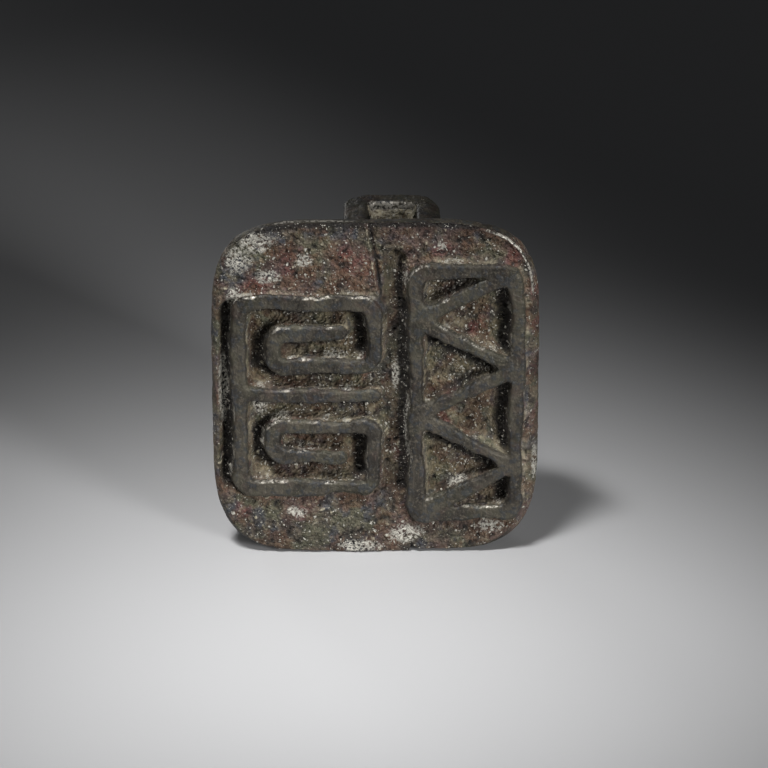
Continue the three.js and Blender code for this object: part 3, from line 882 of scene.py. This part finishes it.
def make_seam(node):
    """A collar of solder round one leg, sunk a little into the back of the block."""
    low, high = box_mm(node)
    seam = add_box((low[0], low[1] - 0.4, low[2]), high, node + "_solder")
    middle_x = (low[0] + high[0]) / 2
    edit_mesh = edit(seam)
    pick_faces(seam, edit_mesh, lambda place, normal: abs(normal.y) > 0.9)
    bpy.ops.mesh.inset(thickness=(SEAM_REACH_MM + 0.75) * MM, use_even_offset=True)
    edit_mesh = bmesh.from_edit_mesh(seam.data)
    inner = [f for f in edit_mesh.faces if f.select]
    bmesh.update_edit_mesh(seam.data)
    if len(inner) != 2:
        raise RuntimeError("the collar's two inner faces were not found")
    bpy.ops.mesh.bridge_edge_loops()
    bpy.ops.mesh.select_all(action="SELECT")
    bpy.ops.mesh.normals_make_consistent(inside=False)
    bpy.ops.object.mode_set(mode="OBJECT")
    apply_modifier(seam, "REMESH", mode="VOXEL", voxel_size=0.2 * MM, adaptivity=0)
    places = coordinates(seam)
    middle_z = (low[2] + high[2]) / 2
    out_x = np.abs(places[:, 0] - middle_x) - (high[0] - low[0]) / 2 + SEAM_REACH_MM
    out_z = np.abs(places[:, 2] - middle_z) - (high[2] - low[2]) / 2 + SEAM_REACH_MM
    outside = np.clip(np.hypot(np.maximum(out_x, 0), np.maximum(out_z, 0)), 0, SEAM_REACH_MM) / SEAM_REACH_MM
    # The fillet runs out hollow on the back of the block, with an uneven edge
    outside = np.clip(outside + 0.16 * layered_noise(places, 2.4, 451), 0, 1)
    hollow = low[1] - 0.12 + (high[1] - low[1]) * (1 - outside) ** 1.7
    places[:, 1] = np.minimum(places[:, 1], np.maximum(hollow, low[1] - 0.12))
    move_to(seam, places)
    apply_modifier(seam, "SMOOTH", factor=0.5, iterations=4)
    places = coordinates(seam)
    outward = normals(seam)
    height, crust = casting_skin(places, 401)
    lumps = height + 0.16 * layered_noise(places, 1.8, 441) - 0.05
    move_to(seam, np.clip(places + outward * lumps[:, None], low - (0.2, 0.6, 0.2), high + 0.1))
    store_masks(seam, {"worn": 0.72, "deep": 0.4, "earth_bank_and_light": 0.1, "crust": crust, "bloom_and_glint": 0.1})
    solder = bpy.context.scene.seal_colours.solder
    dress(seam, patina("dull tin solder, corroded", earth_level=0.6, worn=solder))
    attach(seam, "root")
    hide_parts(node)
    return seam


# Materials

def add_node(tree, kind, inputs=None, output=0, **values):
    """Adds one node with its settings, its socket values and its links, and returns one of its outputs."""
    node = tree.nodes.new("ShaderNode" + kind)
    for key, value in values.items():
        setattr(node, key, value)
    for socket, value in (inputs or {}).items():
        if isinstance(value, bpy.types.NodeSocket):
            tree.links.new(value, node.inputs[socket])
        else:
            node.inputs[socket].default_value = value
    return node if output is None else node.outputs[output]


def new_material(name):
    """A material with no nodes yet, and add_node for its tree."""
    material = bpy.data.materials.new(name)
    material.use_nodes = True
    material.node_tree.nodes.clear()
    return material, functools.partial(add_node, material.node_tree)


def rgba(values, gain=1.0):
    return (*(v * gain for v in values[:3]), 1.0)


# Noise patterns of the patina: size of the largest lumps in millimetres, layers, roughness
PATTERNS = {
    "cloud": (6.5, 4, 0.52),
    "patch": (3.4, 4, 0.55),
    "stain": (2.8, 4, 0.55),
    "blot": (2.3, 4, 0.55),
    "clump": (1.4, 4, 0.58),
    "mottle": (0.8, 3, 0.55),
    "grit": (0.36, 2, 0.6),
}
# Spacing in millimetres of the rounded grains that the crust is made of
GRAIN_MM = 0.42
# How far the grains and specks are pushed about, and the size of the noise that does it
PUSH_MM = 0.9
# Width of the scratches on smooth bronze, how they are drawn out, and their slope in radians. Real ones are
# a tenth as wide, which is too fine to show.
SCRATCH_MM = 0.22
SCRATCH_STRETCH = 0.08
SCRATCH_TILT = 1.1
# White specks, which are white grains and painted glints: spacing in millimetres, shares of them that show on
# plain ground and in a bloom, and the shift of their pattern in metres
SPECKS_AND_GLINTS = [(0.19, 0.035, 0.50, 0.0), (0.30, 0.032, 0.60, 0.4), (0.48, 0.020, 0.55, 0.7)]
# Height of the bumps that are too fine for the mesh
BUMP_MM = 0.60


def patina(name, earth_level=0.6, worn=None, darker=1.0):
    """Copper alloy under centuries of patina.

    Worn places are smooth, dark and half glossy, with faint scratches and bright rubbed edges that carry a
    painted highlight.
    The ground is matt and gritty, with patches of olive, slate, plum and red, black pits, painted shade, pale
    grains, earth in the hollows with painted light on its banks, and white specks that are partly painted
    glints. worn is one colour for the smooth metal, and darker is a gain on its tints.
    """
    colours = bpy.context.scene.seal_colours
    material, add = new_material(name)
    place = add("TexCoord", output="Object")
    mask = {key: add("Attribute", output="Fac", attribute_name=key) for key in MASKS}
    pattern = {}
    for count, (key, (size, detail, rough)) in enumerate(PATTERNS.items()):
        shifted = add("Mapping", {"Vector": place, "Location": (0.31 * count,) * 3})
        pattern[key] = add("TexNoise", {
            "Vector": shifted, "Scale": 1 / (size * MM), "Detail": detail, "Roughness": rough,
        })

    drawn_out = add("Mapping", {
        "Vector": place, "Rotation": (0, SCRATCH_TILT, 0), "Scale": (1, 1, SCRATCH_STRETCH),
    })
    pattern["scratch"] = add("TexNoise", {
        "Vector": drawn_out, "Scale": 1 / (SCRATCH_MM * MM), "Detail": 2, "Roughness": 0.6,
    })

    # Grains and specks are pushed about, so that they don't lie in rows
    push = add("TexNoise", {"Vector": place, "Scale": 1 / (PUSH_MM * MM), "Detail": 2}, output="Color")
    push = add("VectorMath", {0: push, 1: (0.5, 0.5, 0.5)}, operation="SUBTRACT")
    push = add("VectorMath", {0: push, "Scale": PUSH_MM * MM}, operation="SCALE")
    uneven = add("VectorMath", {0: place, 1: push}, operation="ADD")
    pattern["grain"] = add("TexVoronoi", {"Vector": uneven, "Scale": 1 / (GRAIN_MM * MM)})

    def layered(base, layers, gain=1.0):
        """Lays tints over a base, each times the gain.

        A tint's pattern shows it more and more from low to high, and its mask takes it from share to share.
        """
        for tint, key, low, high, mask_key, mask_low, mask_high, share_low, share_high in layers:
            strength = add("MapRange", {
                "Value": mask[mask_key], "From Min": mask_low, "From Max": mask_high,
                "To Min": share_low, "To Max": share_high,
            })
            share = add("MapRange", {
                "Value": pattern[key], "From Min": low, "From Max": high, "To Max": strength,
            }, interpolation_type="SMOOTHSTEP")
            base = add("Mix", {0: share, 6: base, 7: rgba(tint, gain)}, output=2, data_type="RGBA")
        return base

    ground = layered(rgba(colours.ground_dark), [
        (colours.ground_light, "clump", 0.36, 0.64, "crust", 0.0, 0.7, 0.45, 0.85),
        (colours.olive, "patch", 0.42, 0.56, "worn", 0.0, 1.0, 0.85, 0.3),
        (colours.slate, "blot", 0.49, 0.59, "deep", 0.0, 1.0, 0.85, 0.35),
        (colours.plum, "cloud", 0.46, 0.59, "deep", 0.0, 1.0, 0.70, 0.3),
        (colours.rust, "stain", 0.48, 0.61, "worn", 0.0, 1.0, 0.54, 0.1),
        (colours.earth, "clump", 0.42, 0.62, "deep", 0.0, 1.0, 0.12, earth_level),
        # Pale earth and painted light on the banks
        (colours.pale_earth_and_light, "clump", 0.36, 0.66, "earth_bank_and_light", 0.0, 1.0, 0.0, 0.68),
        (colours.cuprite, "blot", 0.40, 0.64, "cuprite", 0.0, 1.0, 0.05, 0.66),
        (colours.pit_and_shade, "stain", 0.48, 0.66, "deep", 0.0, 1.0, 0.42, 0.60),
        (colours.pit_and_shade, "grain", 0.50, 0.78, "deep", 0.0, 1.0, 0.42, 0.36),
        (colours.pit_and_shade, "grit", 0.0, 0.01, "crust", 0.0, 0.36, 0.92, 0.0),
        # Painted shade in pit colour where the shade mask is high
        (colours.pit_and_shade, "cloud", 0.0, 0.2, "shade", 0.0, 0.8, 0.0, 0.94),
        (colours.pale_earth_and_light, "grit", 0.54, 0.66, "crust", 0.30, 0.7, 0.0, 0.36),
        (colours.pale_earth_and_light, "grit", 0.30, 0.60, "crust", 0.70, 0.95, 0.0, 0.9),
        (colours.bloom_and_glint, "grit", 0.43, 0.54, "bloom_and_glint", 0.25, 0.9, 0.0, 0.95),
    ])
    dark, light = (colours.worn_dark, colours.worn_light) if worn is None else (worn, worn)
    smooth_bronze = layered(rgba(dark, darker), [
        (light, "patch", 0.38, 0.62, "worn", 0.0, 1.0, 1.0, 1.0),
        (dark, "mottle", 0.45, 0.62, "worn", 0.0, 1.0, 0.7, 0.7),
        (light, "grit", 0.52, 0.66, "worn", 0.0, 1.0, 0.8, 0.8),
        (colours.plum, "blot", 0.54, 0.66, "worn", 0.0, 1.0, 0.4, 0.15),
        (colours.olive, "stain", 0.47, 0.62, "worn", 0.0, 1.0, 0.5, 0.2),
        (colours.slate, "mottle", 0.50, 0.62, "worn", 0.0, 1.0, 0.0, 0.3),
        (colours.ground_light, "grit", 0.60, 0.72, "worn", 0.0, 1.0, 0.6, 0.30),
        (colours.ground_light, "scratch", 0.60, 0.70, "worn", 0.0, 1.0, 0.0, 0.22),
        # Rubbed bronze and a painted highlight along the edges, the crest and the hole's lip
        (colours.polished_highlight, "grit", 0.40, 0.54, "rubbed_edge_highlight", 0.15, 0.9, 0.0, 0.9),
    ], darker)
    ragged = add("Math", {0: pattern["grit"], 1: 0.9, 2: mask["worn"]}, operation="MULTIPLY_ADD")
    rub = add("MapRange", {
        "Value": ragged, "From Min": 0.78, "From Max": 1.08,
    }, interpolation_type="SMOOTHSTEP")
    base = add("Mix", {0: rub, 6: ground, 7: smooth_bronze}, output=2, data_type="RGBA")

    # White specks of three sizes, white grains and painted glints: a random few in all places and many in the
    # blooms
    specks_and_glints = 0.0
    for size, alone, crowded, offset in SPECKS_AND_GLINTS:
        shifted = add("Mapping", {"Vector": uneven, "Location": (offset,) * 3})
        cells = {"Vector": shifted, "Scale": 1 / (size * MM)}
        dot = add("MapRange", {
            "Value": add("TexVoronoi", cells, output="Distance"),
            "From Min": 0.29, "From Max": 0.45, "To Min": 1.0, "To Max": 0.0,
        })
        draw = add("SeparateColor", {0: add("TexVoronoi", cells, output="Color")})
        crowd = add("MapRange", {
            "Value": pattern["clump"], "From Min": 0.40, "From Max": 0.56,
            "To Min": 0.1, "To Max": mask["bloom_and_glint"],
        })
        chance = add("MapRange", {"Value": crowd, "To Min": alone, "To Max": crowded})
        chosen = add("Math", {0: draw, 1: chance}, operation="LESS_THAN")
        spot = add("Math", {0: dot, 1: chosen}, operation="MULTIPLY")
        specks_and_glints = add("Math", {0: spot, 1: specks_and_glints}, operation="MAXIMUM")
    # Smooth bronze sheds most of its specks and painted glints
    speck_and_glint_share = add("MapRange", {"Value": rub, "To Min": 0.95, "To Max": 0.04})
    specks_and_glints = add("Math", {0: specks_and_glints, 1: speck_and_glint_share}, operation="MULTIPLY")
    base = add("Mix", {0: specks_and_glints, 6: base, 7: rgba(colours.bloom_and_glint)}, output=2, data_type="RGBA")

    # Smooth bronze is half metal and a little glossier than the ground, and rubbed edges are glossier still
    gloss = add("MapRange", {"Value": rub, "To Min": 0.70, "To Max": 0.56})
    gloss = add("Math", {0: mask["rubbed_edge_highlight"], 1: -0.24, 2: gloss}, operation="MULTIPLY_ADD")
    metal = add("MapRange", {"Value": rub, "To Min": 0.0, "To Max": 0.45})
    # Smooth bronze, packed earth and rubbed edges are flatter than the gritty ground
    relief = add("MapRange", {"Value": rub, "To Min": 1.0, "To Max": 0.28})
    packed = add("MapRange", {"Value": mask["earth_bank_and_light"], "To Min": 1.0, "To Max": 0.55})
    relief = add("Math", {0: relief, 1: packed}, operation="MULTIPLY")
    polish = add("MapRange", {"Value": mask["rubbed_edge_highlight"], "To Min": 1.0, "To Max": 0.2})
    relief = add("Math", {0: relief, 1: polish}, operation="MULTIPLY")
    grains = add("Math", {0: pattern["grain"], 1: -0.45, 2: pattern["mottle"]}, operation="MULTIPLY_ADD")
    grains = add("Math", {0: pattern["clump"], 1: 0.7, 2: grains}, operation="MULTIPLY_ADD")
    height = add("Math", {0: grains, 1: relief}, operation="MULTIPLY")
    height = add("Math", {0: specks_and_glints, 1: 0.3, 2: height}, operation="MULTIPLY_ADD")
    bump = add("Bump", {"Height": height, "Distance": BUMP_MM * MM, "Strength": 1.0})
    shader = add("BsdfPrincipled", {
        "Base Color": base, "Roughness": gloss, "Metallic": metal, "Normal": bump,
    })
    add("OutputMaterial", {"Surface": shader}, output=None)
    return material


def floor_material():
    """Matt painted board: plain, with a very soft unevenness."""
    material, add = new_material("matt painted board")
    place = add("TexCoord", output="Object")
    cloud = add("TexNoise", {"Vector": place, "Scale": 1 / (60 * MM), "Detail": 2})
    tone = add("MapRange", {"Value": cloud, "To Min": 0.97, "To Max": 1.03})
    tint = add(
        "Mix", {0: 1.0, 6: rgba(bpy.context.scene.seal_colours.floor), 7: tone}, output=2,
        data_type="RGBA", blend_type="MULTIPLY",
    )
    shader = add("BsdfPrincipled", {"Base Color": tint, "Roughness": 0.75})
    add("OutputMaterial", {"Surface": shader}, output=None)
    return material


# Stage: floor, lights and camera

CAMERA_ELEVATION = math.radians(24)
CAMERA_DISTANCE = 0.55
PIXELS_PER_MM = 8.25
IMAGE_SIDE_PX = 768
# The pixel of the photograph that the seal's middle line crosses, and the pixel row of its foot
MIDDLE_PX = 375.5
FOOT_PX = 556.0


def add_lamp(name, place, aim, size, watts, spread):
    """A square softbox with a honeycomb that keeps its light within the spread, in degrees."""
    clear_selection()
    bpy.ops.object.light_add(type="AREA", location=place)
    lamp = bpy.context.object
    lamp.name = name
    lamp.data.shape = "SQUARE"
    lamp.data.size = size
    lamp.data.spread = math.radians(spread)
    lamp.data.energy = watts
    lamp.rotation_euler = (Vector(aim) - Vector(place)).to_track_quat("-Z", "Y").to_euler()


def make_stage():
    clear_selection()
    bpy.ops.mesh.primitive_plane_add(size=4.0, location=(0, 0, 0))
    floor = bpy.context.object
    floor.name = "floor"
    floor.data.materials.append(floor_material())

    world = bpy.data.worlds.new("studio")
    bpy.context.scene.world = world
    world.use_nodes = True
    background = world.node_tree.nodes["Background"]
    background.inputs["Color"].default_value = (0.55, 0.56, 0.58, 1)
    background.inputs["Strength"].default_value = 0.04

    add_lamp("key", (-0.10, -0.16, 0.38), (-0.010, -0.045, 0), size=0.10, watts=0.040, spread=19)
    add_lamp("right fill", (0.125, -0.167, 0.074), (0, -0.014, 0.020), size=0.07, watts=0.0122, spread=28)
    add_lamp("back fill", (-0.12, 0.23, 0.085), (0, 0.013, 0.026), size=0.10, watts=0.0050, spread=22)

    low, high = box_mm("seal_block")
    aim = Vector((
        (IMAGE_SIDE_PX / 2 - MIDDLE_PX) / PIXELS_PER_MM,
        low[1],
        (FOOT_PX - IMAGE_SIDE_PX / 2) / PIXELS_PER_MM / math.cos(CAMERA_ELEVATION),
    )) * MM
    away = Vector((0, -math.cos(CAMERA_ELEVATION), math.sin(CAMERA_ELEVATION))) * CAMERA_DISTANCE
    clear_selection()
    bpy.ops.object.camera_add(location=aim + away)
    camera = bpy.context.object
    camera.rotation_euler = (math.pi / 2 - CAMERA_ELEVATION, 0, 0)
    camera.data.sensor_width = 36.0
    frame_width_mm = IMAGE_SIDE_PX / PIXELS_PER_MM
    camera.data.lens = camera.data.sensor_width * CAMERA_DISTANCE / MM / frame_width_mm
    bpy.context.scene.camera = camera
    bpy.context.scene.view_settings.view_transform = "Standard"


# Add-on classes

class SEAL_OT_block(bpy.types.Operator):
    """Models the block with its relief, rim, walls and back"""
    bl_idname = "seal.block"
    bl_label = "Block"

    def execute(self, context):
        make_block()
        return {"FINISHED"}


class SEAL_OT_loop(bpy.types.Operator):
    """Models the strap loop on the back"""
    bl_idname = "seal.loop"
    bl_label = "Loop"

    def execute(self, context):
        make_loop()
        return {"FINISHED"}


class SEAL_OT_seams(bpy.types.Operator):
    """Models the solder round the loop's two legs"""
    bl_idname = "seal.seams"
    bl_label = "Solder seams"

    def execute(self, context):
        for side in ("left", "right"):
            make_seam("solder_seam_" + side)
        return {"FINISHED"}


class SEAL_OT_stage(bpy.types.Operator):
    """Adds the floor, the lamps and the camera"""
    bl_idname = "seal.stage"
    bl_label = "Stage"

    def execute(self, context):
        make_stage()
        return {"FINISHED"}


class SEAL_PT_panel(bpy.types.Panel):
    """Lists the sizes, the colours and the steps of the seal"""
    bl_label = "Bronze stamp seal"
    bl_idname = "SEAL_PT_panel"
    bl_space_type = "VIEW_3D"
    bl_region_type = "UI"
    bl_category = "Seal"

    def draw(self, context):
        for group in (context.scene.seal_sizes, context.scene.seal_colours):
            for key in group.__annotations__:
                self.layout.prop(group, key)
        for operator in (SEAL_OT_block, SEAL_OT_loop, SEAL_OT_seams, SEAL_OT_stage):
            self.layout.operator(operator.bl_idname)


CLASSES = (SealSizes, SealColours, SEAL_OT_block, SEAL_OT_loop, SEAL_OT_seams, SEAL_OT_stage, SEAL_PT_panel)


def register():
    for cls in CLASSES:
        bpy.utils.register_class(cls)
    bpy.types.Scene.seal_sizes = bpy.props.PointerProperty(type=SealSizes)
    bpy.types.Scene.seal_colours = bpy.props.PointerProperty(type=SealColours)


def unregister():
    del bpy.types.Scene.seal_sizes
    del bpy.types.Scene.seal_colours
    for cls in reversed(CLASSES):
        bpy.utils.unregister_class(cls)


def main():
    register()
    bpy.ops.seal.stage()
    bpy.ops.seal.block()
    bpy.ops.seal.loop()
    bpy.ops.seal.seams()


if __name__ == "__main__":
    main()
